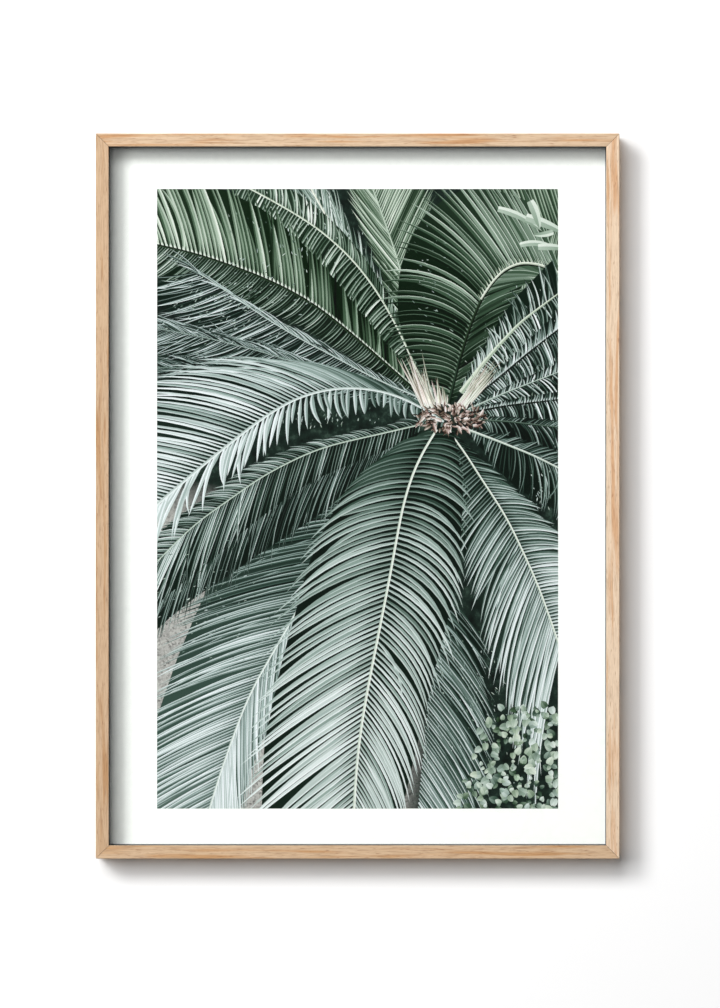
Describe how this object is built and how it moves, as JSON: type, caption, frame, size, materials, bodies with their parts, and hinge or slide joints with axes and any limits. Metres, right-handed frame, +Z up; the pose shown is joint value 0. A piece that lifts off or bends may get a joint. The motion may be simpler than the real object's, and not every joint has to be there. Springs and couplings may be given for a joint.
{
  "type": "framed wall print",
  "caption": "Slim light-oak box frame, portrait format, with a glazed, white-bordered print of a palm crown set back on spacers, and hanging rings and turn buttons behind.",
  "frame": {"origin": "midway between the two hanging rings, where the wall hooks bear in them, in the plane of the frame's back", "axes": "+Z up, +Y towards the wall, so the picture faces -Y; +X to the right as the picture is looked at"},
  "size_m": [0.52, 0.0305, 0.72],
  "materials": {
    "oak": "light oak moulding, fine-sanded, matt clear oil",
    "fixing_steel": "zinc-plated pressed steel",
    "hanger_steel": "nickel-plated steel",
    "clear_acrylic": "clear cast acrylic sheet, polished faces",
    "dark_slip": "extruded dark grey plastic slip, matt",
    "print_paper": "matt coated paper, printed in colour inside a white border",
    "grey_card": "grey pulp filler board",
    "hardboard": "brown hardboard, smooth side out",
    "rubber_pad": "black moulded rubber"
  },
  "bodies": {
    "root": {"rail_top": "oak", "rail_right": "oak", "rail_bottom": "oak", "rail_left": "oak", "corner_wedge_top_left": "fixing_steel", "corner_wedge_top_right": "fixing_steel", "corner_wedge_bottom_left": "fixing_steel", "corner_wedge_bottom_right": "fixing_steel", "glazing": "clear_acrylic", "spacer_top": "dark_slip", "spacer_right": "dark_slip", "spacer_bottom": "dark_slip", "spacer_left": "dark_slip", "print_sheet": "print_paper", "filler_board": "grey_card", "backing_board": "hardboard", "button_screw_top": "fixing_steel", "button_screw_bottom": "fixing_steel", "button_screw_left_upper": "fixing_steel", "button_screw_left_lower": "fixing_steel", "button_screw_right_upper": "fixing_steel", "button_screw_right_lower": "fixing_steel", "hanger_plate_left": "hanger_steel", "rivet_left_upper": "hanger_steel", "rivet_left_lower": "hanger_steel", "hanger_plate_right": "hanger_steel", "rivet_right_upper": "hanger_steel", "rivet_right_lower": "hanger_steel", "wall_pad_left": "rubber_pad", "wall_pad_right": "rubber_pad"},
    "turn_button_top": {"turn_button_top": "fixing_steel"},
    "turn_button_bottom": {"turn_button_bottom": "fixing_steel"},
    "turn_button_left_upper": {"turn_button_left_upper": "fixing_steel"},
    "turn_button_left_lower": {"turn_button_left_lower": "fixing_steel"},
    "turn_button_right_upper": {"turn_button_right_upper": "fixing_steel"},
    "turn_button_right_lower": {"turn_button_right_lower": "fixing_steel"},
    "hanging_ring_left": {"hanging_ring_left": "hanger_steel"},
    "hanging_ring_right": {"hanging_ring_right": "hanger_steel"}
  },
  "joints": [
    {"name": "turn_top", "type": "hinge", "parent": "root", "child": "turn_button_top", "pos_m": [0, 0, 0.06525], "axis": [0, 1, 0], "range_deg": [-90, 90]},
    {"name": "turn_bottom", "type": "hinge", "parent": "root", "child": "turn_button_bottom", "pos_m": [0, 0, -0.64525], "axis": [0, 1, 0], "range_deg": [-90, 90]},
    {"name": "turn_left_upper", "type": "hinge", "parent": "root", "child": "turn_button_left_upper", "pos_m": [-0.25525, 0, -0.1], "axis": [0, 1, 0], "range_deg": [-90, 90]},
    {"name": "turn_left_lower", "type": "hinge", "parent": "root", "child": "turn_button_left_lower", "pos_m": [-0.25525, 0, -0.48], "axis": [0, 1, 0], "range_deg": [-90, 90]},
    {"name": "turn_right_upper", "type": "hinge", "parent": "root", "child": "turn_button_right_upper", "pos_m": [0.25525, 0, -0.1], "axis": [0, 1, 0], "range_deg": [-90, 90]},
    {"name": "turn_right_lower", "type": "hinge", "parent": "root", "child": "turn_button_right_lower", "pos_m": [0.25525, 0, -0.48], "axis": [0, 1, 0], "range_deg": [-90, 90]},
    {"name": "ring_left", "type": "hinge", "parent": "root", "child": "hanging_ring_left", "pos_m": [-0.15, 0.00235, -0.01096], "axis": [-1, 0, 0], "range_deg": [0, 175]},
    {"name": "ring_right", "type": "hinge", "parent": "root", "child": "hanging_ring_right", "pos_m": [0.15, 0.00235, -0.01096], "axis": [-1, 0, 0], "range_deg": [0, 175]}
  ]
}
